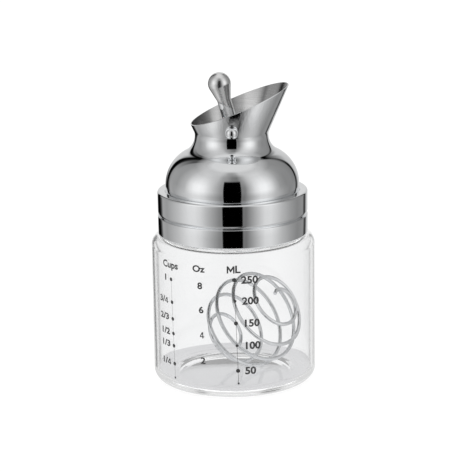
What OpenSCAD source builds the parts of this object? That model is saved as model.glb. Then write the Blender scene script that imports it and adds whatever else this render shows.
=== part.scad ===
// Salad dressing shaker: a glass jar, a screwed-on steel pouring lid with a thumb lever
// that opens the valve in its throat, and a loose wire mixing ball in the jar.
// Z is up, the pouring lip points to +X, the lever turns on a pin along Y,
// and the origin is the middle of the jar's base, on the table.

/* [Jar] */
// Outer diameter of the jar
jar_d = 80; // [80:1:90]
// Thickness of the jar's side wall
jar_wall = 1.9; // [1.4:0.1:2.6]
// Thickness of the jar's floor at the bearing ring
floor_t = 3.6; // [3:0.1:5]
// How far the middle of the base is lifted off the table
push_up = 0.8; // [0.4:0.1:1.4]
// Width of the ring that the jar stands on
foot_w = 7; // [5:0.5:10]
// Radius of the rounded heel
heel_r = 5.5; // [4:0.5:7]
// Height of the shoulder, where the neck begins
shoulder_z = 73; // [66:0.2:84]
// Radius of the rounded shoulder
shoulder_r = 5; // [3:0.5:6.5]
// Thickness of the neck's wall
neck_wall = 2.3; // [2:0.1:3]

/* [Screw thread] */
// Rise of the lid in one turn
thread_pitch = 5; // [4.6:0.1:6]
// Turns of thread on the neck and in the lid
thread_turns = 1.25; // [1:0.05:1.3]
// Height of a thread ridge
thread_depth = 1.4; // [1:0.1:1.6]
// Width of a thread ridge at its foot
thread_w = 2.2; // [1.8:0.1:2.4]
// Free play between the two threads, along and across the neck
thread_play = 0.35; // [0.25:0.05:0.5]

/* [Collar] */
// How far the collar's side stands back from the jar's side
collar_inset = 3.4; // [3:0.1:4.4]
// Height of the collar
collar_h = 21.4; // [21.2:0.1:23.4]
// Thickness of the collar's sheet steel
shell_t = 0.5; // [0.4:0.1:0.8]
// Height of the rolled groove above the collar's lower edge
groove_h = 9.5; // [7:0.1:12]
// Depth of the rolled groove
groove_depth = 1.2; // [0.6:0.1:1.4]
// Radius that turns the upper band into the groove
groove_r = 2.2; // [1.6:0.1:3]
// Rounding of the collar's upper and lower edges
edge_r = 1; // [0.8:0.1:1.4]
// Wall of the plastic thread ring inside the collar
ring_wall = 2.1; // [1.9:0.1:2.4]
// Thickness of the plastic ring's inner flange
ring_flange_t = 2; // [1.6:0.1:2.4]
// Thickness of the silicone gasket
gasket_t = 1.6; // [1.2:0.1:2]

/* [Pouring dome] */
// Width of the collar's ledge around the dome
ledge_w = 4; // [3:0.1:4.6]
// Radius of the dome's rounded shoulder
dome_r = 18; // [16:0.5:19]
// Height of the dome's widest ring above the collar's upper edge
dome_rise = 2.9; // [2:0.1:5]
// Outer diameter of the waist
waist_d = 35.8; // [34:0.2:38]
// Radius of the hollow between the dome and the waist
hollow_r = 9; // [8:0.5:12]
// Radius of the hollow between the waist and the flared mouth
flare_r = 5; // [4:0.5:8]
// Slope of the flared mouth from the vertical, in degrees
flare_angle = 23.2; // [18:0.1:28]
// Height of the mouth's low side above the waist
mouth_low = 5.6; // [5:0.1:8]
// Slope of the mouth's edge, in degrees
mouth_tilt = 21.3; // [12:0.1:26]
// Thickness of the dome's sheet steel
dome_t = 0.6; // [0.5:0.1:0.8]

/* [Lever and valve] */
// Height of the pin above the waist
pin_rise = 4.6; // [3.4:0.1:5]
// Diameter of the pin
pin_d = 3; // [2.5:0.1:3.4]
// Diameter of the pin's round heads
pin_ball_d = 6; // [5.4:0.1:6.8]
// Distance from the neck's wall to the middle of a round head
pin_head_rise = 1.2; // [0.8:0.1:2]
// Lean of the lever in the closed position, in degrees
lever_lean = 15.2; // [8:0.1:18]
// Distance from the pin to the middle of the thumb knob's round end
knob_reach = 21.1; // [19.4:0.1:24]
// Largest diameter of the thumb knob
knob_d = 11; // [10:0.1:12.4]
// Diameter of the lever's stem
stem_d = 6.8; // [6:0.1:8]
// Distance from the pin to the slanted joint of knob and stem
mitre_reach = 10.2; // [9:0.1:11.4]
// Slant of the joint of knob and stem, in degrees
mitre_tilt = 40; // [0:1:42]
// Diameter of the stem's spigot inside the knob
spigot_d = 4.4; // [4:0.1:4.8]
// Length of the spigot inside the knob
spigot_l = 6; // [4:0.5:8]
// Distance from the pin down to the valve disc's upper face
disc_drop = 2.2; // [2.1:0.1:2.6]
// Diameter of the two valve plates
disc_d = 30; // [26:0.5:31]
// Thickness of each valve plate
disc_t = 1; // [0.8:0.1:1.2]
// Thickness of the seal's web between the plates
web_t = 1.2; // [1:0.1:1.5]
// Gap between the seal's edge and the throat at its tightest
seal_gap = 0.2; // [0.15:0.05:0.4]
// Diameter of the clamp screw's shank
screw_d = 3; // [2.5:0.1:3]
// Diameter of the clamp screw's head
screw_head_d = 5.6; // [5:0.1:6.5]

/* [Mixing ball] */
// Outer diameter of the wire ball
ball_d = 47.6; // [40:0.2:48]
// Diameter of its wire
wire_d = 1.8; // [1.6:0.1:2.4]
// Turns of wire from pole to pole
ball_turns = 5.5; // [4:0.5:7]
// Angle from the ball's axis to the start of the wire, in degrees
pole_near = 13; // [10:1:30]
// Angle from the ball's axis to the end of the wire, in degrees
pole_far = 160; // [145:1:162]
// Place of the ball towards the pouring lip
ball_x = 9.7; // [0:0.1:10.4]
// Place of the ball away from the front
ball_y = 3.9; // [0:0.1:5]
// Slope of the ball's axis from the vertical, in degrees
ball_tip = 55.2; // [0:0.1:90]
// Heading of the ball's axis, in degrees
ball_heading = -40.5; // [-180:0.1:180]
// Turn of the wire's start about the ball's axis, in degrees
ball_start = -151; // [-180:1:180]

/* [Hidden] */
$fn = 96;

// Clearances
fit_gap = 0.05; // pieces pressed or screwed together, and round the pin
rest_gap = 0.3; // pieces that rest on each other and move apart
plate_gap = 0.2; // between the valve plates and the seal's rim

// Colours
steel = [0.78, 0.79, 0.80];
satin = [0.62, 0.62, 0.61];
silicone = [0.93, 0.93, 0.91];
plastic = [0.96, 0.96, 0.95];
clear = [0.85, 0.92, 0.93, 0.35];

// Collar and thread ring
collar_r = jar_d / 2 - collar_inset;
dome_d = 2 * (collar_r - ledge_w);
collar_z = shoulder_z + rest_gap;
collar_top = collar_z + collar_h;
groove_z = collar_z + groove_h;
ring_out = collar_r - shell_t - fit_gap;
ring_in = ring_out - ring_wall;
lip_t = 0.7; // the collar's lip, turned in over the dome's flange
lip_in = dome_d / 2 + 0.1;
curl_angle = 75; // how far the collar's lower edge curls under
hem_r = 0.5; // the corner where the lower band meets the groove
bead_angle = 50; // how far the upper band turns into the groove
groove_in = collar_r - groove_depth;
flange_top = collar_top - lip_t;
flange_r = collar_r - edge_r;
ring_top = flange_top - dome_t;
ring_z = collar_z + edge_r + 0.2;

// Jar
jar_r = jar_d / 2;
thread_crest = ring_in - thread_play;
neck_r = thread_crest - thread_depth;
neck_in = neck_r - neck_wall;
ring_bore = neck_in + 0.5;
gasket_z = ring_top - ring_flange_t - 2 * fit_gap - gasket_t;
jar_top = gasket_z - rest_gap;
lip_r = neck_wall / 2;
corner_r = 1.2; // inside, where the shoulder meets the neck
foot_slope = 2; // from the bearing ring up to the middle of the base
thread_root = 0.2; // how far a ridge reaches into the wall it stands on
thread_crest_w = thread_w / 2;
thread_z = shoulder_z + 4.8;
ridge_crest = neck_r + thread_play;
ridge_drop = thread_w / 2 + thread_crest_w / 2 + thread_play;

// Dome and spout
dome_x = dome_d / 2 - dome_r;
dome_z = collar_top + dome_rise;
waist_r = waist_d / 2;
hollow_x = waist_r + hollow_r;
tangent_x = hollow_x - dome_x;
tangent_z = sqrt(pow(dome_r + hollow_r, 2) - tangent_x * tangent_x);
tangent_angle = atan2(tangent_z, tangent_x);
waist_z = dome_z + tangent_z;
foot_angle = asin((dome_z - flange_top) / dome_r);
mouth_z = waist_z + mouth_low;
mouth_low_r = flare_at(mouth_z);
flare_top = waist_z + 1.5 * waist_d; // above the mouth's high side, before the slanted cut

// Lever and valve
pin_z = waist_z + pin_rise;
pin_r = pin_d / 2;
neck_at_pin = flare_at(pin_z);
ball_end_y = neck_at_pin + pin_head_rise / cos(flare_angle);
shank_end = neck_at_pin - pin_r * tan(flare_angle); // within the wall at the cap's end
pin_tip_r = pin_r - 0.5;
hub_w = 9; // the cross tube that the pin runs through
hub_d = stem_d + 1;
post_d = screw_d + 2.2; // below the hub, through the disc and the seal
screw_tip = -pin_r - 1.2;
screw_head_h = 1.6;
slot_w = 0.8;
knob_foot = mitre_reach - stem_d;
knob_waist = mitre_reach + stem_d / 2 * tan(mitre_tilt);
taper = asin((knob_d - stem_d) / 2 / (knob_reach - knob_waist));
swing_r = norm([waist_r + flare_r, pin_rise]) - flare_r - dome_t - seal_gap;
web_top = -disc_drop - disc_t;
web_low = web_top - web_t;
seal_low = web_low - disc_t;

// Mixing ball
wire_r = wire_d / 2;
coil_r = ball_d / 2 - wire_r;
ball_path = [for (i = [0 : ball_turns * 24]) turned(coil_point(i / 24))];
ball_low = min([for (p = ball_path) p.z]) - wire_r;
ball_z = floor_t + rest_gap - ball_low;

// Radius of the flared mouth's outside at a height
function flare_at(z) = waist_r + flare_r * (1 - cos(flare_angle))
    + (z - waist_z - flare_r * sin(flare_angle)) * tan(flare_angle);

// Points along an arc about [x, z], from one angle to another
function arc(x, z, r, from, to, n = 12) =
    [for (i = [0 : n]) let (a = from + (to - from) * i / n) [x + r * cos(a), z + r * sin(a)]];

function reverse(list) = [for (i = [len(list) - 1 : -1 : 0]) list[i]];

// A wall between an outline and the same outline moved inwards
function between(outer, inner) = concat(outer, reverse(inner));

// Faces of a closed tube made of rings of points, and its two ends
function tube_faces(rings, sides) = concat(
    [for (i = [0 : rings - 2], k = [0 : sides - 1]) let (n = (k + 1) % sides)
        [i * sides + k, (i + 1) * sides + n, i * sides + n]],
    [for (i = [0 : rings - 2], k = [0 : sides - 1]) let (n = (k + 1) % sides)
        [i * sides + k, (i + 1) * sides + k, (i + 1) * sides + n]],
    [for (k = [1 : sides - 2]) [0, k, k + 1]],
    [for (k = [1 : sides - 2]) let (e = (rings - 1) * sides) [e, e + k + 1, e + k]]);

// A helical ridge: its foot and crest radii, the foot's height and width at the start
module ridge(foot, crest, z) {
    step = 15;
    rings = ceil(thread_turns * 360 / step);
    fade = 2;
    points = [for (i = [0 : rings])
        let (a = i * step, up = z + thread_pitch * a / 360,
            full = min(1, i / fade, (rings - i) / fade),
            top = foot + (crest - foot) * (0.2 + 0.8 * full))
        for (c = [[foot, -thread_w / 2], [top, -thread_crest_w / 2],
            [top, thread_crest_w / 2], [foot, thread_w / 2]])
            [c[0] * cos(a), c[0] * sin(a), up + c[1]]];
    faces = tube_faces(rings + 1, 4);
    polyhedron(points, crest > foot ? [for (f = faces) reverse(f)] : faces);
}

// Outline of the jar's outside, from the middle of the base to the top of the neck
function jar_outside() = concat(
    [[0, push_up], [jar_r - heel_r - foot_w - foot_slope, push_up], [jar_r - heel_r - foot_w, 0]],
    arc(jar_r - heel_r, heel_r, heel_r, -90, 0),
    arc(jar_r - shoulder_r, shoulder_z - shoulder_r, shoulder_r, 0, 90),
    [[neck_r, shoulder_z]],
    arc(neck_r - lip_r, jar_top - lip_r, lip_r, 0, 90, 6));

// Outline of the jar's inside, from the middle of the floor to the top of the neck
function jar_inside() = concat(
    [[0, floor_t]],
    arc(jar_r - heel_r, floor_t + heel_r - jar_wall, heel_r - jar_wall, -90, 0),
    arc(jar_r - shoulder_r, shoulder_z - shoulder_r, shoulder_r - jar_wall, 0, 90),
    arc(neck_in + corner_r, shoulder_z - jar_wall + corner_r, corner_r, 270, 180, 6),
    arc(neck_in + lip_r, jar_top - lip_r, lip_r, 180, 90, 6));

module glass_jar() {
    color(clear) {
        rotate_extrude() polygon(between(jar_outside(), jar_inside()));
        ridge(neck_r - thread_root, thread_crest, thread_z);
    }
}

// The plastic ring pressed into the collar, with the lid's thread
module thread_ring() {
    color(plastic) {
        difference() {
            rotate_extrude() polygon([
                [ring_in, ring_z], [ring_out, ring_z], [ring_out, ring_top],
                [ring_bore, ring_top], [ring_bore, ring_top - ring_flange_t],
                [ring_in, ring_top - ring_flange_t]]);
            rotate_extrude() polygon([
                [groove_in - shell_t - fit_gap, groove_z - 2 * shell_t],
                [collar_r, groove_z - 2 * shell_t],
                [collar_r, groove_z + groove_r + shell_t],
                [ring_out, groove_z + groove_r + shell_t],
                [groove_in - shell_t - fit_gap, groove_z + 2 * shell_t]]);
        }
        ridge(ring_in + thread_root, ridge_crest, thread_z - ridge_drop);
    }
}

module lid_gasket() {
    color(silicone) translate([0, 0, gasket_z]) difference() {
        cylinder(r = ring_in - plate_gap, h = gasket_t);
        translate([0, 0, -1]) cylinder(r = neck_in, h = gasket_t + 2);
    }
}

// Outline of the collar, moved inwards by d
function collar_line(d) = concat(
    arc(collar_r - edge_r, collar_z + edge_r, edge_r - d, -curl_angle, 0, 6),
    arc(collar_r - hem_r, groove_z - hem_r, max(hem_r - d, 0.05), 0, 90, 4),
    [[groove_in - d, groove_z - d]],
    [[groove_in - d, groove_z + (hem_r + d) / 2]],
    arc(collar_r - groove_r, groove_z + groove_r, groove_r - d, -bead_angle, 0, 6),
    arc(collar_r - edge_r, collar_top - edge_r, edge_r - d, 0, 90, 6));

module lid_collar() {
    color(steel) rotate_extrude() polygon(between(
        concat(collar_line(0), [[lip_in + lip_t / 2, collar_top], [lip_in, collar_top - lip_t / 2]]),
        concat(collar_line(shell_t), [[flange_r, flange_top], [lip_in, flange_top]])));
}

// Outline of the dome and spout, moved inwards by d
function dome_line(d) = concat(
    arc(dome_x, dome_z, dome_r - d, -foot_angle, tangent_angle, 20),
    arc(hollow_x, waist_z, hollow_r + d, 180 + tangent_angle, 180, 14),
    arc(waist_r + flare_r, waist_z, flare_r + d, 180, 180 - flare_angle, 8),
    [[flare_at(flare_top) - d / cos(flare_angle), flare_top]]);

module pour_dome() {
    cut = 4 * waist_d;
    color(steel) difference() {
        rotate_extrude() polygon(between(
            concat([[flange_r, flange_top]], dome_line(0)),
            concat([[flange_r, ring_top], [dome_line(dome_t)[0].x, ring_top]], dome_line(dome_t))));
        translate([-mouth_low_r, 0, mouth_z]) rotate([0, -mouth_tilt, 0])
            translate([-waist_r, -cut / 2, 0]) cube([cut, cut, cut]);
        translate([0, 0, pin_z]) rotate([90, 0, 0])
            cylinder(r = pin_r + fit_gap, h = 3 * waist_d, center = true);
    }
}

// A round head of the pin, shaped to lie on the flared neck
module pin_head(y) {
    low = waist_z;
    high = pin_z + pin_ball_d;
    gap = fit_gap / cos(flare_angle);
    difference() {
        translate([0, y, pin_z]) sphere(d = pin_ball_d);
        rotate_extrude() polygon([[0, low], [flare_at(low) + gap, low],
            [flare_at(high) + gap, high], [0, high]]);
    }
}

// The pin, with its head at the front and a thinner tip for the cap
module pivot_pin() {
    color(steel) {
        pin_head(-ball_end_y);
        translate([0, 0, pin_z]) rotate([90, 0, 0]) {
            translate([0, 0, -shank_end]) cylinder(r = pin_r, h = shank_end + ball_end_y);
            translate([0, 0, -ball_end_y]) cylinder(r = pin_tip_r, h = ball_end_y);
        }
    }
}

module pin_cap() {
    color(steel) difference() {
        pin_head(ball_end_y);
        translate([0, ball_end_y, pin_z]) rotate([90, 0, 0])
            cylinder(r = pin_tip_r + fit_gap / 2, h = pin_ball_d);
    }
}

// Lays a piece made along Z from the pin onto the leaning lever
module on_lever() {
    translate([0, 0, pin_z]) rotate([0, -lever_lean, 0]) children();
}

// All that lies above or below the slanted joint of knob and stem
module mitre_side(above) {
    span = 2 * knob_reach;
    translate([0, 0, mitre_reach]) rotate([0, mitre_tilt, 0])
        translate([-span / 2, -span / 2, above ? 0 : -span]) cube([span, span, span]);
}

module lever_stem() {
    color(steel) difference() {
        union() {
            difference() {
                union() {
                    on_lever() difference() {
                        cylinder(d = stem_d, h = mitre_reach + stem_d);
                        mitre_side(true);
                    }
                    translate([0, 0, pin_z]) rotate([90, 0, 0])
                        cylinder(d = hub_d, h = hub_w, center = true);
                }
                translate([0, 0, pin_z - disc_drop - hub_d]) cylinder(r = hub_w, h = hub_d);
            }
            on_lever() cylinder(d = spigot_d, h = mitre_reach + spigot_l);
            translate([0, 0, pin_z + web_low]) cylinder(d = post_d, h = -web_low);
        }
        translate([0, 0, pin_z]) rotate([90, 0, 0])
            cylinder(r = pin_r + fit_gap, h = hub_w + 2, center = true);
        translate([0, 0, pin_z + seal_low])
            cylinder(d = screw_d + fit_gap, h = screw_tip + fit_gap - seal_low);
    }
}

module thumb_knob() {
    color(satin) on_lever() difference() {
        rotate_extrude() polygon(concat(
            [[0, knob_foot], [stem_d / 2, knob_foot], [stem_d / 2, knob_waist]],
            arc(0, knob_reach, knob_d / 2, -taper, 90, 14)));
        mitre_side(false);
        cylinder(d = spigot_d + fit_gap, h = mitre_reach + spigot_l + rest_gap);
    }
}

module valve_disc() {
    color(steel) translate([0, 0, pin_z + web_top]) difference() {
        cylinder(d = disc_d, h = disc_t);
        translate([0, 0, -1]) cylinder(d = post_d + fit_gap, h = disc_t + 2);
    }
}

// The silicone seal: a web between the plates and a thick rim with a round edge
module valve_seal() {
    web_in = (post_d + fit_gap) / 2;
    rim_in = disc_d / 2 + plate_gap;
    color(silicone) translate([0, 0, pin_z]) intersection() {
        sphere(r = swing_r);
        rotate_extrude() polygon([
            [web_in, web_low], [rim_in, web_low], [rim_in, seal_low], [swing_r, seal_low],
            [swing_r, -disc_drop], [rim_in, -disc_drop], [rim_in, web_top], [web_in, web_top]]);
    }
}

module clamp_plate() {
    color(steel) translate([0, 0, pin_z + seal_low]) difference() {
        cylinder(d = disc_d, h = disc_t);
        translate([0, 0, -1]) cylinder(d = screw_d + 2 * fit_gap, h = disc_t + 2);
    }
}

module clamp_screw() {
    color(steel) translate([0, 0, pin_z + seal_low]) difference() {
        union() {
            cylinder(d = screw_d, h = screw_tip - seal_low);
            translate([0, 0, -screw_head_h]) cylinder(d = screw_head_d, h = screw_head_h);
        }
        translate([-screw_head_d, -slot_w / 2, -screw_head_h - slot_w])
            cube([2 * screw_head_d, slot_w, 2 * slot_w]);
    }
}

// A point on the ball's wire after t turns, before the ball is tipped
function coil_point(t) = let (
    polar = pole_near + (pole_far - pole_near) * t / ball_turns,
    winding = ball_start - 360 * t)
    coil_r * [sin(polar) * cos(winding), sin(polar) * sin(winding), cos(polar)];

// Tips the ball's axis over and turns it to its heading
function turned(p) = let (
    x = p.x * cos(ball_tip) + p.z * sin(ball_tip),
    z = p.z * cos(ball_tip) - p.x * sin(ball_tip))
    [x * cos(ball_heading) - p.y * sin(ball_heading), x * sin(ball_heading) + p.y * cos(ball_heading), z];

function unit(v) = v / norm(v);

module mixing_ball() {
    sides = 6;
    n = len(ball_path);
    points = [for (i = [0 : n - 1])
        let (along = unit(ball_path[min(i + 1, n - 1)] - ball_path[max(i - 1, 0)]),
            out = unit(ball_path[i]), across = unit(cross(along, out)), up = cross(across, along))
        for (k = [0 : sides - 1]) let (a = 360 * k / sides)
            ball_path[i] + wire_r * (cos(a) * up + sin(a) * across)];
    color(steel) translate([ball_x, ball_y, ball_z]) polyhedron(points, tube_faces(n, sides));
    gaps = [for (i = [0 : n - 13], j = [i + 12 : n - 1]) norm(ball_path[i] - ball_path[j]) - wire_d];
    echo(least_gap_between_the_turns = min(gaps));
}

glass_jar();
thread_ring();
lid_gasket();
lid_collar();
pour_dome();
pivot_pin();
pin_cap();
lever_stem();
thumb_knob();
valve_disc();
valve_seal();
clamp_plate();
clamp_screw();
mixing_ball();
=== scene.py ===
import math

import bpy
from mathutils import Matrix, Vector


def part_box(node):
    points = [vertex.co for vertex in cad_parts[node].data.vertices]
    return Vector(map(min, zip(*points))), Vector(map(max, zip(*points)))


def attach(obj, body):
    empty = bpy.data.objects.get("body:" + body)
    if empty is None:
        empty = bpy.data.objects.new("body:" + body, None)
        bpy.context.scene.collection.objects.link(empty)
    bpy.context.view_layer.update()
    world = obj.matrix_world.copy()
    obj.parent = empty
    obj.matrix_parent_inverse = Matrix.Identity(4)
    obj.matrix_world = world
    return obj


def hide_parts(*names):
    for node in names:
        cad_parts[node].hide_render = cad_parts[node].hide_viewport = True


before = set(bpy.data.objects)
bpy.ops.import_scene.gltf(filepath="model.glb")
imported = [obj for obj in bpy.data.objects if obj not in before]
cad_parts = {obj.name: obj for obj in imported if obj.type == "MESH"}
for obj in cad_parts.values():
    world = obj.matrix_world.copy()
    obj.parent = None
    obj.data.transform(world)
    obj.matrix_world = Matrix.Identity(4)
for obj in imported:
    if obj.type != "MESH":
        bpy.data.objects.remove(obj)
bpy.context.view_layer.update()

MM = 0.001


# ---------------------------------------------------------------- sizes, in millimetres
JAR_R, JAR_WALL, FLOOR_T, PUSH_UP, FOOT_W, HEEL_R = 40, 1.9, 3.6, 0.8, 7, 5.5
SHOULDER_Z, SHOULDER_R, NECK_R, NECK_IN, JAR_TOP = 73, 5, 32.2, 29.9, 89.4
THREAD_PITCH, THREAD_TURNS, THREAD_Z, THREAD_CREST, THREAD_W = 5, 1.25, 77.8, 33.6, 2.2
COLLAR_R, COLLAR_Z, COLLAR_TOP, GROOVE_Z = 36.6, 73.3, 94.7, 82.8
DOME_R, DOME_X, DOME_Z, DOME_T = 18, 14.6, 97.6, 0.6
WAIST_R, WAIST_Z, HOLLOW_R, FLARE_R, FLARE_ANGLE = 17.9, 121.636, 9, 5, 23.2
MOUTH_Z, MOUTH_TILT = WAIST_Z + 5.6, 21.3
PIN_Z, PIN_BALL_R, PIN_HEAD_RISE, PIN_R, PIN_TIP_R = WAIST_Z + 4.6, 3.0, 1.2, 1.5, 1.0
LEVER_LEAN, KNOB_REACH, KNOB_R, STEM_R, MITRE_REACH, MITRE_TILT = 15.2, 21.1, 5.5, 3.4, 10.2, 40
BALL_R, WIRE_R, BALL_TURNS, POLE_NEAR, POLE_FAR = 23.8, 0.9, 5.5, 13, 160
BALL_X, BALL_Y, BALL_TIP, BALL_HEADING, BALL_START = 9.7, 3.9, 55.2, -40.5, -151


def flare_at(z):
    """Outer radius of the flared mouth at a height."""
    slope = math.radians(FLARE_ANGLE)
    return (WAIST_R + FLARE_R * (1 - math.cos(slope))
            + (z - WAIST_Z - FLARE_R * math.sin(slope)) * math.tan(slope))


MOUTH_LOW_R = flare_at(MOUTH_Z)
PIN_BALL_Y = flare_at(PIN_Z) + PIN_HEAD_RISE / math.cos(math.radians(FLARE_ANGLE))


# ---------------------------------------------------------------- camera
CAMERA_DISTANCE, CAMERA_HEIGHT, CAMERA_PITCH, CAMERA_ROLL = 900, 298.2, 14.17, -0.82

camera_data = bpy.data.cameras.new("camera")
camera_data.sensor_width = 36
camera_data.lens = 1894 / 472 * 36
camera_data.shift_x = (236 - 233.06) / 472
camera = bpy.data.objects.new("camera", camera_data)
bpy.context.scene.collection.objects.link(camera)
camera.matrix_world = (Matrix.Translation((0, -CAMERA_DISTANCE * MM, CAMERA_HEIGHT * MM))
                       @ Matrix.Rotation(math.radians(90 - CAMERA_PITCH), 4, "X")
                       @ Matrix.Rotation(math.radians(CAMERA_ROLL), 4, "Z"))
bpy.context.scene.camera = camera
bpy.context.scene.view_settings.view_transform = "Standard"


# ---------------------------------------------------------------- node trees
class Wiring:
    """Adds nodes to a tree and links them, so that a tree reads as a formula."""

    def __init__(self, tree):
        self.nodes, self.links = tree.nodes, tree.links

    def put(self, socket, value):
        if isinstance(value, bpy.types.NodeSocket):
            self.links.new(value, socket)
        elif value is not None:
            socket.default_value = value

    def node(self, kind, *values, out=0, **settings):
        node = self.nodes.new(kind)
        for key, value in settings.items():
            setattr(node, key, value)
        for socket, value in zip(node.inputs, values):
            self.put(socket, value)
        return node.outputs[out]

    def math(self, operation, *values):
        return self.node("ShaderNodeMath", *values, operation=operation)

    def vector(self, x, y, z):
        return self.node("ShaderNodeCombineXYZ", x, y, z)

    def split(self, vector):
        node = self.nodes.new("ShaderNodeSeparateXYZ")
        self.put(node.inputs[0], vector)
        return node.outputs

    def between(self, value, low, high, to_low=0.0, to_high=1.0, kind="LINEAR"):
        return self.node("ShaderNodeMapRange", value, low, high, to_low, to_high,
                         interpolation_type=kind)

    def noise(self, vector, scale, detail=2.0, roughness=0.5):
        node = self.nodes.new("ShaderNodeTexNoise")
        for name, value in (("Vector", vector), ("Scale", scale), ("Detail", detail),
                            ("Roughness", roughness)):
            self.put(node.inputs[name], value)
        return node.outputs[0]

    def mix(self, factor, low, high):
        node = self.nodes.new("ShaderNodeMix")
        node.data_type = "RGBA"
        for name, value in (("Factor", factor), ("A", low), ("B", high)):
            socket = next(s for s in node.inputs if s.name == name and s.enabled)
            self.put(socket, value)
        return next(s for s in node.outputs if s.enabled)

    def group(self, tree, **values):
        node = self.nodes.new("ShaderNodeGroup")
        node.node_tree = tree
        for name, value in values.items():
            self.put(node.inputs[name.replace("_", " ")], value)
        return node.outputs


# ---------------------------------------------------------------- studio
def light(level):
    """Linear light for a brightness from 0 to 255."""
    return (level / 255) ** 2.2


def ring_of_light(wire, turn, levels):
    """Brightness round the horizon, from a list of (angle in degrees, brightness)."""
    ramp = wire.nodes.new("ShaderNodeValToRGB")
    elements = ramp.color_ramp.elements
    while len(elements) < len(levels):
        elements.new(0.5)
    for element, (angle, level) in zip(elements, levels):
        element.position = (angle + 180) / 360
        element.color = (light(level),) * 3 + (1,)
    wire.put(ramp.inputs["Fac"], wire.between(turn, -180.0, 180.0))
    return ramp.outputs["Color"]


UNDER = [(-180, 170), (-124, 112), (-104, 138), (-90, 172), (-70, 199), (-60, 194), (-50, 178), (-40, 160),
         (-30, 142), (-20, 150), (0, 152), (10, 134), (16, 74), (21, 52), (25, 104), (30, 138), (40, 161),
         (50, 172), (60, 182), (70, 186), (90, 181), (110, 177), (180, 170)]
BELOW = [(-180, 255), (-169, 240), (-165, 120), (-162, 12), (-146, 10), (-140, 75), (-134, 158), (-120, 150),
         (-110, 162), (-90, 186), (-80, 202), (-70, 215), (-60, 217), (-50, 205), (-40, 178), (-30, 153),
         (-20, 125), (20, 110), (30, 151), (40, 184), (50, 211), (60, 214), (70, 198), (80, 178),
         (100, 148), (116, 130), (136, 140), (140, 70), (148, 64), (153, 190), (164, 205), (180, 255)]
LEVEL = [(-180, 212), (-166, 203), (-155, 192), (-152, 6), (-142, 6), (-139, 140), (-130, 150), (-110, 145),
         (-90, 175), (-80, 212), (-70, 236), (-60, 243), (-50, 233), (-40, 206), (-30, 174), (-20, 143),
         (0, 118), (22, 125), (30, 174), (40, 218), (50, 240), (60, 242), (70, 220), (80, 181), (90, 148),
         (105, 132), (120, 134), (137, 122), (139, 14), (144, 14), (147, 186), (180, 212)]
RAISED = [(-180, 190), (-160, 190), (-156, 8), (-146, 18), (-141, 80), (-131, 76), (-127, 134), (-110, 148),
          (-90, 172), (-80, 188), (-60, 200), (-50, 197), (-30, 183), (-20, 153), (-10, 140), (0, 118), (10, 110),
          (20, 154), (30, 187), (40, 202), (50, 207), (60, 206), (80, 184), (90, 163), (100, 146),
          (120, 134), (140, 134), (145, 10), (154, 10), (159, 186), (180, 190)]
HIGH = [(-180, 205), (-160, 209), (-140, 170), (-120, 173), (-100, 183), (-80, 192), (-30, 192), (-20, 180),
        (-10, 152), (0, 147), (10, 162), (20, 193), (60, 194), (90, 186), (110, 175), (140, 177), (180, 205)]
BEHIND_GLASS = [(-180, 250), (-168, 249), (-166.5, 200), (-165, 5), (-155.5, 5), (-153, 210), (-148, 240),
                (-100, 245), (0, 245), (100, 245), (150, 240), (157, 230), (160, 120), (163.5, 120), (165.5, 235),
                (168, 249), (180, 250)]
STEEL_REFLECTS = 0.93


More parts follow.
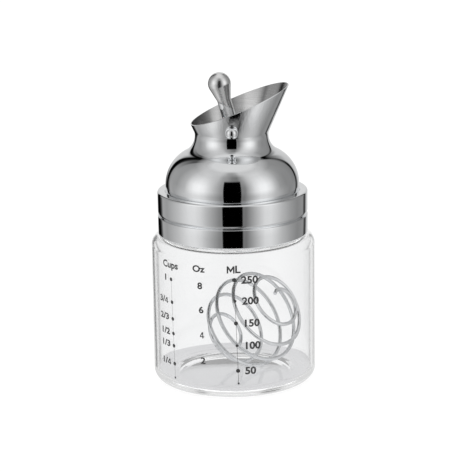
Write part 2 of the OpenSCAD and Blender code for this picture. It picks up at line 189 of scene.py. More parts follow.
def studio_world():
    """A white backdrop. Reflections see two soft boxes at the front with a dark gap between them,
    and what shines through glass sees the backdrop with a dark card at each side."""
    world = bpy.data.worlds.new("studio")
    bpy.context.scene.world = world
    world.use_nodes = True
    world.node_tree.nodes.clear()
    wire = Wiring(world.node_tree)
    x, y, z = wire.split(wire.node("ShaderNodeTexCoord", out=0))
    turn = wire.math("MULTIPLY", wire.math("ARCTAN2", x, wire.math("MULTIPLY", y, -1.0)), 180 / math.pi)
    rise = wire.math("MULTIPLY", wire.math("ARCSINE", z), 180 / math.pi)
    room = ring_of_light(wire, turn, UNDER)
    for low, high, levels in ((-47.0, -37.0, BELOW), (-12.0, 2.0, LEVEL), (16.0, 44.0, RAISED), (48.0, 60.0, HIGH)):
        room = wire.mix(wire.between(rise, low, high), room, ring_of_light(wire, turn, levels))
    room = wire.mix(wire.between(rise, 62.0, 70.0), room, (light(209),) * 3 + (1,))
    middle = wire.math("ABSOLUTE", wire.math("ADD", turn, 0.4))
    gap = wire.math("MULTIPLY", wire.between(middle, 16.2, 14.6, kind="SMOOTHSTEP"),
                    wire.math("MULTIPLY", wire.between(rise, -46.0, -38.0), wire.between(rise, 38.0, 33.0)))
    room = wire.mix(gap, room, (light(3),) * 3 + (1,))
    reflected = wire.node("ShaderNodeBackground", room, 1 / STEEL_REFLECTS)
    through = wire.node("ShaderNodeBackground", ring_of_light(wire, turn, BEHIND_GLASS), 1.0)
    backdrop = wire.node("ShaderNodeBackground", (1, 1, 1, 1), 1.0)
    path = wire.nodes.new("ShaderNodeLightPath").outputs
    from_within = wire.math("MULTIPLY", wire.math("GREATER_THAN", path["Transmission Depth"], 0.5), 0.4)
    room = wire.mix(from_within, room, (light(222),) * 3 + (1,))
    off_glass = wire.math("MULTIPLY", path["Is Singular Ray"], path["Is Glossy Ray"])
    off_glass = wire.math("MULTIPLY", off_glass, wire.math("LESS_THAN", path["Transmission Depth"], 0.5))
    room = wire.mix(wire.math("MULTIPLY", off_glass, 0.75), room, (light(235),) * 3 + (1,))
    wire.put(reflected.node.inputs["Color"], room)
    plain = wire.math("MAXIMUM", path["Is Camera Ray"], path["Is Diffuse Ray"])
    few = wire.math("LESS_THAN", path["Transmission Depth"], 3.5)
    straight = wire.math("MAXIMUM", wire.math("LESS_THAN", path["Glossy Depth"], 0.5), few)
    in_glass = wire.math("MULTIPLY", path["Is Transmission Ray"], straight)
    seen = wire.node("ShaderNodeMixShader", in_glass, reflected, through)
    seen = wire.node("ShaderNodeMixShader", plain, seen, backdrop)
    out = wire.nodes.new("ShaderNodeOutputWorld")
    wire.put(out.inputs["Surface"], seen)


studio_world()


# ---------------------------------------------------------------- shared surface effects
def effect(name, inputs, outputs, build):
    """A shader node group with named inputs and outputs."""
    tree = bpy.data.node_groups.new(name, "ShaderNodeTree")
    for label, kind, value in inputs:
        socket = tree.interface.new_socket(label, in_out="INPUT", socket_type="NodeSocket" + kind)
        if value is not None:
            socket.default_value = value
    for label, kind in outputs:
        tree.interface.new_socket(label, in_out="OUTPUT", socket_type="NodeSocket" + kind)
    entry, leave = tree.nodes.new("NodeGroupInput"), tree.nodes.new("NodeGroupOutput")
    wire = Wiring(tree)
    for label, value in build(wire, entry.outputs).items():
        wire.put(leave.inputs[label], value)
    return tree


def build_polishing_lines(wire, given):
    x, y, z = wire.split(given["Vector"])
    radius = wire.math("POWER", wire.math("ADD", wire.math("MULTIPLY", x, x), wire.math("MULTIPLY", y, y)), 0.5)
    safe = wire.math("MAXIMUM", radius, 0.0005)
    across = wire.math("MULTIPLY", wire.math("ADD", z, wire.math("MULTIPLY", radius, 0.8)), given["Lines"])
    spread = wire.vector(wire.math("MULTIPLY", wire.math("DIVIDE", x, safe), given["Breaks"]),
                         wire.math("MULTIPLY", wire.math("DIVIDE", y, safe), given["Breaks"]), across)
    lines = wire.noise(spread, 1.0, 3.0, 0.6)
    return {"Lines": wire.between(lines, 0.3, 0.7)}


def build_drawn_streaks(wire, given):
    x, y, z = wire.split(given["Vector"])
    angle = wire.vector(wire.math("MULTIPLY", wire.math("DIVIDE", x, given["Radius"]), given["Streaks"]),
                        wire.math("MULTIPLY", wire.math("DIVIDE", y, given["Radius"]), given["Streaks"]),
                        wire.math("MULTIPLY", z, 14.0))
    rows = wire.between(wire.noise(angle, 1.0, 2.0, 0.6), 0.3, 0.7)
    fade = wire.between(z, given["From"], given["To"], kind="SMOOTHSTEP")
    return {"Streaks": wire.math("MULTIPLY", rows, fade)}


def build_soft_marks(wire, given):
    clouds = wire.noise(given["Vector"], wire.math("DIVIDE", 1.0, given["Size"]), 3.0, 0.6)
    specks = wire.noise(given["Vector"], wire.math("DIVIDE", 9.0, given["Size"]), 2.0, 0.5)
    both = wire.math("ADD", wire.math("MULTIPLY", clouds, 0.75), wire.math("MULTIPLY", specks, 0.25))
    return {"Marks": wire.between(both, 0.36, 0.64)}


def build_brushed_grain(wire, given):
    x, y, z = wire.split(given["Vector"])
    stretched = wire.vector(wire.math("MULTIPLY", x, given["Across"]), wire.math("MULTIPLY", y, given["Across"]),
                            wire.math("MULTIPLY", z, given["Along"]))
    fine = wire.noise(stretched, 1.0, 3.0, 0.7)
    return {"Grain": wire.between(fine, 0.25, 0.75)}


def build_moulded_skin(wire, given):
    flow = wire.noise(given["Vector"], 70.0, 3.0, 0.6)
    pores = wire.noise(given["Vector"], given["Pores"], 2.0, 0.6)
    return {"Flow": wire.between(flow, 0.3, 0.7), "Pores": wire.between(pores, 0.3, 0.7)}


polishing_lines = effect("polishing_lines", [("Vector", "Vector", None), ("Lines", "Float", 4000.0),
                                             ("Breaks", "Float", 3.0)], [("Lines", "Float")], build_polishing_lines)
drawn_streaks = effect("drawn_streaks", [("Vector", "Vector", None), ("Radius", "Float", 0.02),
                                         ("Streaks", "Float", 16.0), ("From", "Float", 0.12), ("To", "Float", 0.13)],
                       [("Streaks", "Float")], build_drawn_streaks)
soft_marks = effect("soft_marks", [("Vector", "Vector", None), ("Size", "Float", 0.012)],
                    [("Marks", "Float")], build_soft_marks)
brushed_grain = effect("brushed_grain", [("Vector", "Vector", None), ("Along", "Float", 400.0),
                                         ("Across", "Float", 6000.0)], [("Grain", "Float")], build_brushed_grain)
moulded_skin = effect("moulded_skin", [("Vector", "Vector", None), ("Pores", "Float", 2500.0)],
                      [("Flow", "Float"), ("Pores", "Float")], build_moulded_skin)


# ---------------------------------------------------------------- materials
def new_material(name, **uniform):
    """A material with its even values on the shader's own sockets."""
    material = bpy.data.materials.new(name)
    material.use_nodes = True
    shader = material.node_tree.nodes["Principled BSDF"]
    for key, value in uniform.items():
        shader.inputs[key.replace("_", " ")].default_value = value
    wire = Wiring(material.node_tree)
    place = wire.node("ShaderNodeTexCoord", out=3)
    return material, wire, shader.inputs, place


def raised(wire, shader, height, distance, strength=1.0):
    """Lets a height from 0 to 1 bend the surface, at a real depth in metres."""
    bump = wire.nodes.new("ShaderNodeBump")
    for name, value in (("Strength", strength), ("Distance", distance), ("Height", height)):
        wire.put(bump.inputs[name], value)
    wire.put(shader["Normal"], bump.outputs[0])


def grey(level, tint=0.0):
    return (level - tint, level, level + tint, 1)


def make_polished_steel():
    material, wire, shader, place = new_material("polished_steel", Metallic=1.0)
    lines = wire.group(polishing_lines, Vector=place, Lines=4200.0)["Lines"]
    marks = wire.group(soft_marks, Vector=place, Size=0.014)["Marks"]
    drawn = wire.group(drawn_streaks, Vector=place, From=0.1235, To=0.129)["Streaks"]
    wire.put(shader["Base Color"], wire.mix(marks, grey(0.915, 0.012), grey(0.945, 0.009)))
    rough = wire.math("ADD", wire.between(marks, 0.0, 1.0, 0.02, 0.045), wire.math("MULTIPLY", lines, 0.02))
    wire.put(shader["Roughness"], wire.math("ADD", rough, wire.math("MULTIPLY", drawn, 0.05)))
    raised(wire, shader, wire.math("ADD", wire.math("MULTIPLY", lines, 0.03), drawn), 0.00004, 0.5)
    return material


def make_satin_steel(name, low, high, along, across, shade=0.8):
    material, wire, shader, place = new_material(name, Metallic=1.0)
    grain = wire.group(brushed_grain, Vector=place, Along=along, Across=across)["Grain"]
    marks = wire.group(soft_marks, Vector=place, Size=0.008)["Marks"]
    wire.put(shader["Base Color"], wire.mix(grain, grey(shade - 0.02), grey(shade + 0.02)))
    wire.put(shader["Roughness"], wire.between(wire.math("ADD", wire.math("MULTIPLY", grain, 0.7),
                                                         wire.math("MULTIPLY", marks, 0.3)), 0.0, 1.0, low, high))
    raised(wire, shader, grain, 0.000003, 0.2)
    return material


# Painted reflections for the inside of the mouth: brightness by angle round the axis, painted into the base colour.
PAINTED_REFLECTIONS_INSIDE = [(-180, 240), (-120, 235), (-96, 140), (-80, 110), (-60, 120), (-40, 150), (-34, 165), (-28, 215),
                (-20, 248), (-14, 235), (-6, 172), (-1, 150), (3, 190), (9, 208), (15, 222), (19, 250), (24, 255),
                (34, 255), (38, 232), (43, 172), (48, 235), (60, 250), (66, 240), (76, 140), (96, 120), (120, 235),
                (180, 240)]


def make_brushed_inside():
    """Brushed steel with painted reflections: brightness listed by angle round the mouth is painted into its base
    colour.
    """
    material, wire, shader, place = new_material("brushed_inside_painted_reflections", Metallic=1.0)
    lines = wire.group(polishing_lines, Vector=place, Lines=2600.0, Breaks=2.0)["Lines"]
    marks = wire.group(soft_marks, Vector=place, Size=0.01)["Marks"]
    x, y, z = wire.split(place)
    turn = wire.math("MULTIPLY", wire.math("ARCTAN2", x, y), 180 / math.pi)
    painted_reflections = ring_of_light(wire, turn, PAINTED_REFLECTIONS_INSIDE)
    # The painted reflections, dimmed along the polishing lines, make the base colour.
    wire.put(shader["Base Color"], wire.mix(lines, wire.mix(0.18, painted_reflections, (0, 0, 0, 1)), painted_reflections))
    wire.put(shader["Roughness"], wire.between(wire.math("ADD", lines, marks), 0.0, 2.0, 0.16, 0.28))
    raised(wire, shader, lines, 0.00002, 0.5)
    return material


TRAPPED_AFTER, PAINTED_GLOW_LEVEL = 4, 215


def make_ball_wire():
    """Drawn wire, with painted shade: its base colour is darker where the wire turns away from the camera."""
    material, wire, shader, place = new_material("ball_wire", Metallic=1.0)
    marks = wire.group(soft_marks, Vector=place, Size=0.006)["Marks"]
    weight = wire.nodes.new("ShaderNodeLayerWeight")
    weight.inputs["Blend"].default_value = 0.5
    # Painted shade: the base colour darkens where the wire turns away from the camera.
    edge = wire.between(weight.outputs["Facing"], 0.45, 0.9)
    wire.put(shader["Base Color"], wire.mix(edge, wire.mix(marks, grey(0.86, 0.012), grey(0.92, 0.012)),
                                            grey(0.26, 0.015)))
    wire.put(shader["Roughness"], wire.between(marks, 0.0, 1.0, 0.1, 0.18))
    raised(wire, shader, marks, 0.00001, 0.3)
    return material


def make_clear_glass():
    """Glass with a painted glow: its emission stands in for the light of paths which are reflected inside it for too
    long to be followed.
    """
    material, wire, shader, place = new_material("clear_glass", IOR=1.5, Roughness=0.0, Transmission_Weight=1.0,
                                                Emission_Strength=1.0)
    marks = wire.group(soft_marks, Vector=place, Size=0.03)["Marks"]
    wire.put(shader["Base Color"], wire.mix(marks, grey(0.982, 0.003), grey(0.994, 0.002)))
    raised(wire, shader, marks, 0.000003, 0.3)
    # Painted glow: the glass emits light on glossy paths that have bounced inside it too long.
    path = wire.nodes.new("ShaderNodeLightPath").outputs
    painted_glow_mask = wire.math("MULTIPLY", wire.math("COMPARE", path["Glossy Depth"], TRAPPED_AFTER, 0.5),
                        path["Is Glossy Ray"])
    painted_glow_mask = wire.math("MULTIPLY", painted_glow_mask, wire.between(path["Transmission Depth"], 1.5, 2.5, 1.0, 0.4))
    wire.put(shader["Emission Color"], wire.mix(painted_glow_mask, (0, 0, 0, 1), (light(PAINTED_GLOW_LEVEL),) * 3 + (1,)))
    return material


def make_moulded(name, low, high, rough, pores, depth, **uniform):
    material, wire, shader, place = new_material(name, **uniform)
    skin = wire.group(moulded_skin, Vector=place, Pores=pores)
    wire.put(shader["Base Color"], wire.mix(skin["Flow"], low, high))
    wire.put(shader["Roughness"], wire.between(skin["Pores"], 0.0, 1.0, rough - 0.08, rough + 0.08))
    raised(wire, shader, skin["Pores"], depth, 0.5)
    return material


polished_steel = make_polished_steel()
satin_steel = make_satin_steel("satin_steel", 0.2, 0.26, 300.0, 3200.0, 0.93)
plate_steel = make_satin_steel("plate_steel", 0.2, 0.34, 2500.0, 2500.0, 0.72)
brushed_inside_painted_reflections = make_brushed_inside()
clear_glass = make_clear_glass()
ball_wire = make_ball_wire()
white_plastic = make_moulded("white_plastic", (0.86, 0.86, 0.84, 1), (0.92, 0.92, 0.9, 1), 0.38, 1800.0, 0.00002)
silicone = make_moulded("silicone", (0.8, 0.81, 0.79, 1), (0.88, 0.89, 0.87, 1), 0.5, 1200.0, 0.00001,
                        Subsurface_Weight=0.25, Subsurface_Scale=0.002)
black_print = make_moulded("black_print", (0.008, 0.008, 0.009, 1), (0.02, 0.02, 0.022, 1), 0.4, 5000.0, 0.000004)

node_material = {"thread_ring": white_plastic, "lid_gasket": silicone, "valve_disc": plate_steel,
                 "valve_seal": silicone, "clamp_plate": plate_steel, "clamp_screw": plate_steel,
                 "pin_cap": polished_steel, "lever_stem": polished_steel}
for node, material in node_material.items():
    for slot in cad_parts[node].material_slots:
        slot.material = material


# ---------------------------------------------------------------- modelling
def nothing_selected():
    bpy.ops.object.select_all(action="DESELECT")


def bow(x, z, r, start, end, n=12):
    """Points along an arc about (x, z)."""
    return [(x + r * math.cos(math.radians(start + (end - start) * i / n)),
             z + r * math.sin(math.radians(start + (end - start) * i / n))) for i in range(n + 1)]


def drawn(name, outline, closed=False):
    """An outline in the XZ plane, in millimetres, drawn point by point, left in edit mode."""
    nothing_selected()
    if closed:
        outline = outline + outline[:1]
    bpy.ops.mesh.primitive_plane_add(size=MM, location=(outline[0][0] * MM, 0, outline[0][1] * MM))
    piece = bpy.context.object
    piece.name = piece.data.name = name
    bpy.ops.object.transform_apply(location=True, rotation=False, scale=False)
    bpy.ops.object.mode_set(mode="EDIT")
    bpy.ops.mesh.select_all(action="SELECT")
    bpy.ops.mesh.merge(type="CENTER")
    for (x0, z0), (x1, z1) in zip(outline, outline[1:]):
        bpy.ops.mesh.extrude_region_move(TRANSFORM_OT_translate={"value": ((x1 - x0) * MM, 0, (z1 - z0) * MM)})
    bpy.ops.mesh.select_all(action="SELECT")
    bpy.ops.mesh.remove_doubles(threshold=2e-6)
    return piece


def turned(name, outline, steps=192, closed=False):
    """A turned piece: its outline is spun round Z."""
    piece = drawn(name, outline, closed)
    bpy.ops.mesh.select_all(action="SELECT")
    bpy.ops.mesh.spin(steps=steps, angle=2 * math.pi, center=(0, 0, 0), axis=(0, 0, 1))
    bpy.ops.mesh.select_all(action="SELECT")
    bpy.ops.mesh.remove_doubles(threshold=2e-6)
    bpy.ops.mesh.normals_make_consistent(inside=False)
    bpy.ops.object.mode_set(mode="OBJECT")
    return piece


def alone(piece):
    nothing_selected()
    piece.select_set(True)
    bpy.context.view_layer.objects.active = piece


def placed(piece, turn=None, move=(0, 0, 0)):
    """Turns a finished piece and moves it, in millimetres, and keeps its object at the origin."""
    alone(piece)
    piece.matrix_world = Matrix.Translation(Vector(move) * MM) @ (turn or Matrix.Identity(4))
    bpy.ops.object.transform_apply(location=True, rotation=True, scale=True)


def cut_off(piece, point, normal, close=True):
    """Cuts off what lies on the normal's side of a plane."""
    alone(piece)
    bpy.ops.object.mode_set(mode="EDIT")
    bpy.ops.mesh.select_all(action="SELECT")
    bpy.ops.mesh.bisect(plane_co=Vector(point) * MM, plane_no=normal, use_fill=close, clear_outer=True)
    bpy.ops.mesh.select_all(action="SELECT")
    bpy.ops.mesh.normals_make_consistent(inside=False)
    bpy.ops.object.mode_set(mode="OBJECT")


def face_outwards(piece):
    """Turns an open shell's faces outwards, judged by its widest part."""
    widest = max(piece.data.polygons, key=lambda face: face.center.x * abs(face.normal.x))
    if widest.normal.x < 0:
        alone(piece)
        bpy.ops.object.mode_set(mode="EDIT")
        bpy.ops.mesh.select_all(action="SELECT")
        bpy.ops.mesh.flip_normals()
        bpy.ops.object.mode_set(mode="OBJECT")


def with_modifier(piece, kind, **values):
    alone(piece)
    modifier = piece.modifiers.new(kind.lower(), kind)
    for key, value in values.items():
        setattr(modifier, key, value)
    bpy.ops.object.modifier_apply(modifier=modifier.name)


def eased(piece, width, angle=40):
    """Takes the sharpness off the edges."""
    with_modifier(piece, "BEVEL", width=width * MM, segments=2, limit_method="ANGLE",
                  angle_limit=math.radians(angle), use_clamp_overlap=True)


def joined(name, pieces):
    nothing_selected()
    for piece in pieces:
        piece.select_set(True)
    bpy.context.view_layer.objects.active = pieces[0]
    bpy.ops.object.join()
    pieces[0].name = pieces[0].data.name = name
    return pieces[0]


def finish_piece(piece, body, material, *stands_for, slot=None, angle=35):
    if material is not None:
        piece.data.materials.clear()
        piece.data.materials.append(material)
    alone(piece)
    bpy.ops.object.shade_smooth_by_angle(angle=math.radians(angle))
    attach(piece, body)
    if stands_for:
        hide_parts(*stands_for)
    return piece


# ---------------------------------------------------------------- the jar
def jar_outline():
    inner_heel = HEEL_R - JAR_WALL
    foot = JAR_R - HEEL_R - FOOT_W
    return ([(0, PUSH_UP), (foot - 2, PUSH_UP), (foot, 0.25), (foot + 0.7, 0), (foot + FOOT_W * 0.6, 0)]
            + bow(JAR_R - HEEL_R, HEEL_R, HEEL_R, -90, 0, 24)
            + bow(JAR_R - SHOULDER_R, SHOULDER_Z - SHOULDER_R, SHOULDER_R, 0, 90, 20)
            + [(NECK_R, SHOULDER_Z)]
            + bow(NECK_R - 1.15, JAR_TOP - 1.15, 1.15, 0, 90, 8)
            + bow(NECK_IN + 1.15, JAR_TOP - 1.15, 1.15, 90, 180, 8)
            + bow(NECK_IN + 1.2, SHOULDER_Z - JAR_WALL + 1.2, 1.2, 180, 270, 8)
            + bow(JAR_R - SHOULDER_R, SHOULDER_Z - SHOULDER_R, SHOULDER_R - JAR_WALL, 90, 0, 16)
            + bow(JAR_R - HEEL_R, FLOOR_T + inner_heel, inner_heel, 0, -90, 16)
            + [(0, FLOOR_T)])


def knurl_the_foot(jar, steps=192, depth=0.22):
    """Lifts every second spoke of the bearing ring, which leaves the fine ribs a jar stands on."""
    low, high = JAR_R - HEEL_R - FOOT_W + 0.5, JAR_R - HEEL_R + 1.5
    alone(jar)
    bpy.ops.object.mode_set(mode="EDIT")
    bpy.ops.mesh.select_mode(type="VERT")
    bpy.ops.mesh.select_all(action="DESELECT")
    bpy.ops.object.mode_set(mode="OBJECT")
    for vertex in jar.data.vertices:
        x, y, z = (c / MM for c in vertex.co)
        spoke = round(math.atan2(y, x) / (2 * math.pi) * steps)
        vertex.select = spoke % 2 == 0 and low < math.hypot(x, y) < high and z < 0.4
    bpy.ops.object.mode_set(mode="EDIT")
    bpy.ops.transform.translate(value=(0, 0, depth * MM))
    bpy.ops.object.mode_set(mode="OBJECT")


def neck_thread():
    """The helical ridge on the jar's neck, faded out at both ends."""
    foot, half, crest = NECK_R - 0.2, THREAD_W / 2, THREAD_CREST
    ridge = drawn("neck_thread", [(foot, THREAD_Z - half), (crest, THREAD_Z - half / 2),
                                  (crest, THREAD_Z + half / 2), (foot, THREAD_Z + half)], closed=True)
    bpy.ops.object.mode_set(mode="OBJECT")
    with_modifier(ridge, "SCREW", angle=math.radians(360 * THREAD_TURNS), screw_offset=THREAD_TURNS * THREAD_PITCH * MM,
                  steps=180, render_steps=180, axis="Z", use_merge_vertices=False)
    fade = 30
    for vertex in ridge.data.vertices:
        x, y, z = (c / MM for c in vertex.co)
        around = math.degrees(math.atan2(y, x))
        climbed = (z - THREAD_Z) * 360 / THREAD_PITCH
        along = around + 360 * round((climbed - around) / 360)
        full = max(0.0, min(1.0, along / fade, (360 * THREAD_TURNS - along) / fade))
        radius = math.hypot(x, y)
        if radius > foot + 0.1:
            wanted = foot + (crest - foot) * (0.2 + 0.8 * full)
            vertex.co.x, vertex.co.y = vertex.co.x * wanted / radius, vertex.co.y * wanted / radius
    alone(ridge)
    bpy.ops.object.mode_set(mode="EDIT")
    bpy.ops.mesh.select_all(action="SELECT")
    bpy.ops.mesh.fill_holes(sides=0)
    bpy.ops.mesh.select_all(action="SELECT")
    bpy.ops.mesh.normals_make_consistent(inside=False)
    bpy.ops.object.mode_set(mode="OBJECT")
    return ridge


glass_jar = turned("jar_glass", jar_outline(), 192)
knurl_the_foot(glass_jar)
ridge = neck_thread()
with_modifier(glass_jar, "BOOLEAN", operation="UNION", object=ridge, solver="EXACT")
bpy.data.objects.remove(ridge)
finish_piece(glass_jar, "jar", clear_glass, "glass_jar", slot="clear_glass", angle=30)


# ---------------------------------------------------------------- the measuring scale, printed in black
PRINT_R, PRINT_T = 39.968, 0.02


def flat_words(words, height, x, z, align="CENTER", weight=0.09, wide=1.14):
    """Words in the XZ plane, in millimetres, with their middle at height z."""
    nothing_selected()
    bpy.ops.object.text_add(location=(0, 0, 0))
    text = bpy.context.object
    text.data.body = words
    text.data.align_x, text.data.align_y = align, "CENTER"
    text.data.size = height / 0.7 * MM
    text.data.offset = weight * MM
    text.data.resolution_u = 4
    bpy.ops.object.convert(target="MESH")
    placed(bpy.context.object, Matrix.Rotation(math.radians(90), 4, "X") @ Matrix.Diagonal((wide, 1, 1, 1)), (x, 0, z))
    return bpy.context.object


def flat_dot(x, z, radius):
    nothing_selected()
    bpy.ops.mesh.primitive_circle_add(vertices=24, radius=radius * MM, fill_type="NGON")
    placed(bpy.context.object, Matrix.Rotation(math.radians(90), 4, "X"), (x, 0, z))
    return bpy.context.object


def flat_rule(x0, z0, x1, z1, width):
    nothing_selected()
    bpy.ops.mesh.primitive_plane_add(size=MM)
    length, lean = math.hypot(x1 - x0, z1 - z0), math.atan2(x1 - x0, z1 - z0)
    rule = bpy.context.object
    rule.scale = (width, length, 1)
    bpy.ops.object.transform_apply(location=False, rotation=False, scale=True)
    placed(rule, Matrix.Rotation(lean, 4, "Y") @ Matrix.Rotation(math.radians(90), 4, "X"),
           ((x0 + x1) / 2, 0, (z0 + z1) / 2))
    return rule


def flat_patches(patches, x, z, width, height):
    """A character made of flat patches, each given by its corners in a box of 1 by 1."""
    pieces = []
    for corners in patches:
        patch = drawn("patch", [(x + (u - 0.5) * width, z + (v - 0.5) * height) for u, v in corners], closed=True)
        bpy.ops.mesh.select_all(action="SELECT")
        bpy.ops.mesh.edge_face_add()
        bpy.ops.object.mode_set(mode="OBJECT")
        pieces.append(patch)
    return joined("character", pieces)


LETTER_M = [[(0, 0), (0.19, 0), (0.19, 1), (0, 1)], [(0.81, 0), (1, 0), (1, 1), (0.81, 1)],
            [(0.19, 1), (0.19, 0.6), (0.5, 0.12), (0.5, 0.52)], [(0.81, 1), (0.5, 0.52), (0.5, 0.12), (0.81, 0.6)]]
FIGURE_4 = [[(0.56, 0), (0.78, 0), (0.78, 1), (0.56, 1)], [(0, 0.2), (0.56, 0.2), (0.56, 0.35), (0, 0.35)],
            [(0.78, 0.2), (1, 0.2), (1, 0.35), (0.78, 0.35)], [(0, 0.35), (0.24, 0.35), (0.56, 0.76), (0.56, 1),
                                                               (0.46, 1)]]


def column(angle):
    """Distance along the jar's side from the front, for an angle in degrees."""
    return math.radians(angle) * JAR_R


def printed_scale():
    marks = []
    top, foot = (column(0.3), 59.6), (column(2.4), 8.35)

    def on_line(z, line):
        (xa, za), (xb, zb) = line
        return xa + (xb - xa) * (za - z) / (za - zb)

    ml_line = (top, foot)
    marks.append(flat_patches(LETTER_M, column(-0.2) - 1.25, 64.6, 3.7, 3.5))
    marks.append(flat_words("L", 3.5, column(-0.2) + 0.65, 64.6, "LEFT", 0.15, 1.1))
    for amount, z, big in ((250, 59.6, True), (200, 49.3, False), (150, 38.3, True), (100, 27.2, False),
                           (50, 14.7, True)):
        x = on_line(z, ml_line)
        marks.append(flat_dot(x, z, 1.0 if big else 0.7))
        marks.append(flat_words(str(amount), 3.45, x + 3.3, z - 0.3, "LEFT", 0.17, 1.1))
    marks.append(flat_dot(*foot, 0.5))
    marks.append(flat_rule(*top, *foot, 0.18))
    marks.append(flat_words("Oz", 3.1, column(-24.7), 64.2, weight=0.15))
    for amount, angle, z in (("8", -23.8, 55.9), ("6", -23.1, 44.1), ("2", -22.3, 18.9)):
        marks.append(flat_words(amount, 3.1, column(angle), z, weight=0.15))
    marks.append(flat_patches(FIGURE_4, column(-22.75), 31.7, 2.3, 3.1))
    top, foot = (column(-48.55), 56.7), (column(-46.25), 7.7)
    cup_line = (top, foot)
    marks.append(flat_words("Cups", 3.3, column(-49.5), 63.8, weight=0.15))
    for amount, z, left in (("1", 56.7, 54.7), ("3/4", 45.4, 57.4), ("2/3", 37.1, 57.0), ("1/2", 29.8, 56.4),
                            ("1/3", 23.7, 56.1), ("1/4", 14.7, 55.6)):
        x = on_line(z, cup_line)
        marks.append(flat_dot(x, z, 0.95))
        if amount.endswith("4"):
            marks.append(flat_words(amount[:-1], 2.9, column(-left) - 1.6, z + 0.3, weight=0.15, wide=1.45))
            marks.append(flat_patches(FIGURE_4, column(-left) + 2.3, z + 0.3, 2.7, 2.9))
        else:
            marks.append(flat_words(amount, 2.9, column(-left), z + 0.3, weight=0.15, wide=1.45))
    marks.append(flat_dot(*foot, 0.55))
    marks.append(flat_rule(*top, *foot, 0.14))
    scale = joined("measuring_scale", marks)
    bpy.ops.object.mode_set(mode="EDIT")
    bpy.ops.mesh.select_all(action="SELECT")
    bpy.ops.mesh.remove_doubles(threshold=1e-6)
    bpy.ops.mesh.normals_make_consistent(inside=False)
    bpy.ops.object.mode_set(mode="OBJECT")
    with_modifier(scale, "SOLIDIFY", thickness=PRINT_T * MM, offset=0)
    for vertex in scale.data.vertices:
        x, y, z = vertex.co
        around, radius = x / (JAR_R * MM), PRINT_R * MM - y
        vertex.co = (radius * math.sin(around), -radius * math.cos(around), z)
    alone(scale)
    bpy.ops.object.mode_set(mode="EDIT")
    bpy.ops.mesh.select_all(action="SELECT")
    bpy.ops.mesh.normals_make_consistent(inside=False)
    bpy.ops.object.mode_set(mode="OBJECT")
    return scale


finish_piece(printed_scale(), "jar", black_print)


# ---------------------------------------------------------------- the lid
def collar_outline(inset):
    edge, bead, hem = 1.0 - inset, 2.2 - inset, max(0.5 - inset, 0.05)
    return (bow(COLLAR_R - 1, COLLAR_Z + 1, edge, -75, 0, 10)
            + bow(COLLAR_R - 0.5, GROOVE_Z - 0.5, hem, 0, 90, 6)
            + [(COLLAR_R - 1.2 - inset, GROOVE_Z - inset), (COLLAR_R - 1.2 - inset, GROOVE_Z + 0.25)]
            + bow(COLLAR_R - 2.2, GROOVE_Z + 2.2, bead, -50, 0, 12)
            + bow(COLLAR_R - 1, COLLAR_TOP - 1, edge, 0, 90, 12))


lip_in = DOME_X + DOME_R + 0.1
collar = turned("collar_shell",
                collar_outline(0) + [(lip_in + 0.3, COLLAR_TOP), (lip_in, COLLAR_TOP - 0.3)]
                + [(lip_in, COLLAR_TOP - 0.7), (COLLAR_R - 1, COLLAR_TOP - 0.7)] + collar_outline(0.5)[::-1],
                192, closed=True)
finish_piece(collar, "lid", polished_steel, "lid_collar", slot="polished_steel")


def dome_outline():
    hollow_x = WAIST_R + HOLLOW_R
    reach = hollow_x - DOME_X
    turn = math.degrees(math.atan2(math.sqrt((DOME_R + HOLLOW_R) ** 2 - reach * reach), reach))
    foot = math.degrees(math.asin((DOME_Z - COLLAR_TOP + 0.7) / DOME_R))
    top = WAIST_Z + 40
    return ([(COLLAR_R - 1.2, COLLAR_TOP - 0.7)] + bow(DOME_X, DOME_Z, DOME_R, -foot, turn, 40)
            + bow(hollow_x, WAIST_Z, HOLLOW_R, 180 + turn, 180, 26)
            + bow(WAIST_R + FLARE_R, WAIST_Z, FLARE_R, 180, 180 - FLARE_ANGLE, 10)[1:]
            + [(flare_at(top), top)])


dome = turned("dome_and_spout", dome_outline(), 192)
tilt = math.radians(MOUTH_TILT)
cut_off(dome, (-MOUTH_LOW_R, 0, MOUTH_Z), (-math.sin(tilt), 0, math.cos(tilt)), close=False)
face_outwards(dome)
dome.data.materials.clear()
dome.data.materials.append(polished_steel)
dome.data.materials.append(brushed_inside_painted_reflections)
with_modifier(dome, "SOLIDIFY", thickness=DOME_T * MM, offset=-1, use_even_offset=True, material_offset=1,
              material_offset_rim=0)
eased(dome, 0.14)
finish_piece(dome, "lid", None, "pour_dome", slot="polished_steel")


wall = flare_at(PIN_Z)
lean_of_wall = math.radians(FLARE_ANGLE)
pin_head = turned("pin_head", bow(0, 0, PIN_BALL_R, -90, 90, 32), 64)
placed(pin_head, move=(0, -PIN_BALL_Y, PIN_Z))
cut_off(pin_head, (0, -wall - 0.05, PIN_Z), (0, math.cos(lean_of_wall), math.sin(lean_of_wall)))
eased(pin_head, 0.15, 50)
back = wall - PIN_R * math.tan(lean_of_wall)
shank = turned("pin_shank", [(0, PIN_BALL_Y), (PIN_R, PIN_BALL_Y), (PIN_R, -back), (PIN_TIP_R, -back),
                             (PIN_TIP_R, -PIN_BALL_Y), (0, -PIN_BALL_Y)], 64)
placed(shank, Matrix.Rotation(math.radians(90), 4, "X"), (0, 0, PIN_Z))
with_modifier(pin_head, "BOOLEAN", operation="UNION", object=shank, solver="EXACT")
bpy.data.objects.remove(shank)
pin_head.name = pin_head.data.name = "pin_with_head"
finish_piece(pin_head, "lid", polished_steel, "pivot_pin", slot="polished_steel")


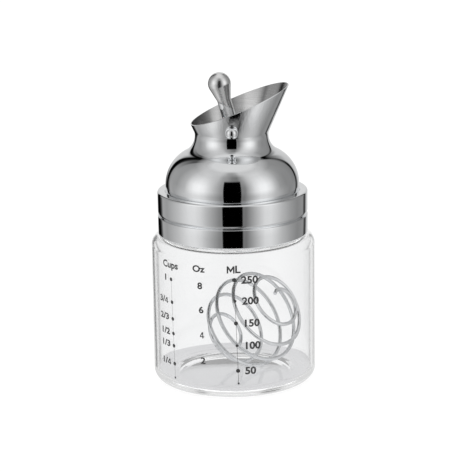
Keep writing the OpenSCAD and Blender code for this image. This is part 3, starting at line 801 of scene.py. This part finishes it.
# ---------------------------------------------------------------- the lever
lean = Matrix.Rotation(math.radians(-LEVER_LEAN), 4, "Y")
knob_waist = MITRE_REACH + STEM_R * math.tan(math.radians(MITRE_TILT))
taper = math.degrees(math.asin((KNOB_R - STEM_R) / (KNOB_REACH - knob_waist)))
knob = turned("knob_body", [(0, MITRE_REACH - 6.8), (STEM_R, MITRE_REACH - 6.8), (STEM_R, knob_waist)]
              + bow(0, KNOB_REACH, KNOB_R, -taper, 90, 24), 96)
mitre = math.radians(MITRE_TILT)
cut_off(knob, (0, 0, MITRE_REACH), (-math.sin(mitre), 0, -math.cos(mitre)))
eased(knob, 0.3, 50)
placed(knob, lean, (0, 0, PIN_Z))
finish_piece(knob, "lever", satin_steel, "thumb_knob", slot="satin_steel")


# ---------------------------------------------------------------- the mixing ball
def coil_point(t):
    polar = math.radians(POLE_NEAR + (POLE_FAR - POLE_NEAR) * t / BALL_TURNS)
    winding = math.radians(BALL_START - 360 * t)
    r = BALL_R - WIRE_R
    return Vector((r * math.sin(polar) * math.cos(winding), r * math.sin(polar) * math.sin(winding),
                   r * math.cos(polar)))


STEPS_PER_TURN = 60
tip = Matrix.Rotation(math.radians(BALL_HEADING), 4, "Z") @ Matrix.Rotation(math.radians(BALL_TIP), 4, "Y")
path = [tip @ coil_point(i / STEPS_PER_TURN) for i in range(int(BALL_TURNS * STEPS_PER_TURN) + 1)]
cad_low, cad_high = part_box("mixing_ball")
ball_z = cad_low[2] / MM - min(p.z for p in path) + WIRE_R
nothing_selected()
bpy.ops.curve.primitive_nurbs_path_add(location=(0, 0, 0))
strand_piece = bpy.context.object
strand_piece.name = strand_piece.data.name = "wire_ball"
strand_piece.data.splines.clear()
strand = strand_piece.data.splines.new("POLY")
strand.points.add(len(path) - 1)
for point, p in zip(strand.points, path):
    point.co = (*((p + Vector((BALL_X, BALL_Y, ball_z))) * MM), 1)
strand_piece.data.bevel_depth = WIRE_R * MM
strand_piece.data.bevel_resolution = 3
strand_piece.data.use_fill_caps = True
alone(strand_piece)
bpy.ops.object.convert(target="MESH")
finish_piece(strand_piece, "ball", ball_wire, "mixing_ball", slot="polished_steel")


# ---------------------------------------------------------------- floor
nothing_selected()
bpy.ops.mesh.primitive_plane_add(size=8, location=(0, 0, 0))
floor = bpy.context.object
floor.name = "floor"
floor.visible_glossy = False
floor.visible_transmission = False
pale_floor, floor_wire, floor_shader, _ = new_material("pale_floor", Roughness=0.8, Emission_Strength=0.93)
floor_shader["Base Color"].default_value = (0.12, 0.12, 0.12, 1)
floor_seen = floor_wire.nodes.new("ShaderNodeLightPath").outputs["Is Camera Ray"]
floor_wire.put(floor_shader["Emission Color"], floor_wire.mix(floor_seen, (0.74, 0.74, 0.75, 1), (1, 1, 1, 1)))
floor.data.materials.append(pale_floor)

# Painted shade under the jar: a grey glowing disc, seen only through the glass, darker than the backdrop seen through
# the rest of the jar.
nothing_selected()
bpy.ops.mesh.primitive_circle_add(vertices=64, radius=46 * MM, fill_type="NGON", location=(0, 0, -0.05 * MM))
painted_shade_disc = bpy.context.object
painted_shade_disc.name = "painted_shade_below_jar"
painted_shade_disc.visible_camera = painted_shade_disc.visible_diffuse = painted_shade_disc.visible_glossy = False
painted_shade_disc.visible_shadow = False
painted_shade_material, _, painted_shade_shader, _ = new_material("painted_shade_seen_through_glass", Roughness=0.8, Emission_Strength=1.0)
painted_shade_shader["Base Color"].default_value = (0, 0, 0, 1)
painted_shade_shader["Emission Color"].default_value = (0.68, 0.68, 0.69, 1)
painted_shade_disc.data.materials.append(painted_shade_material)
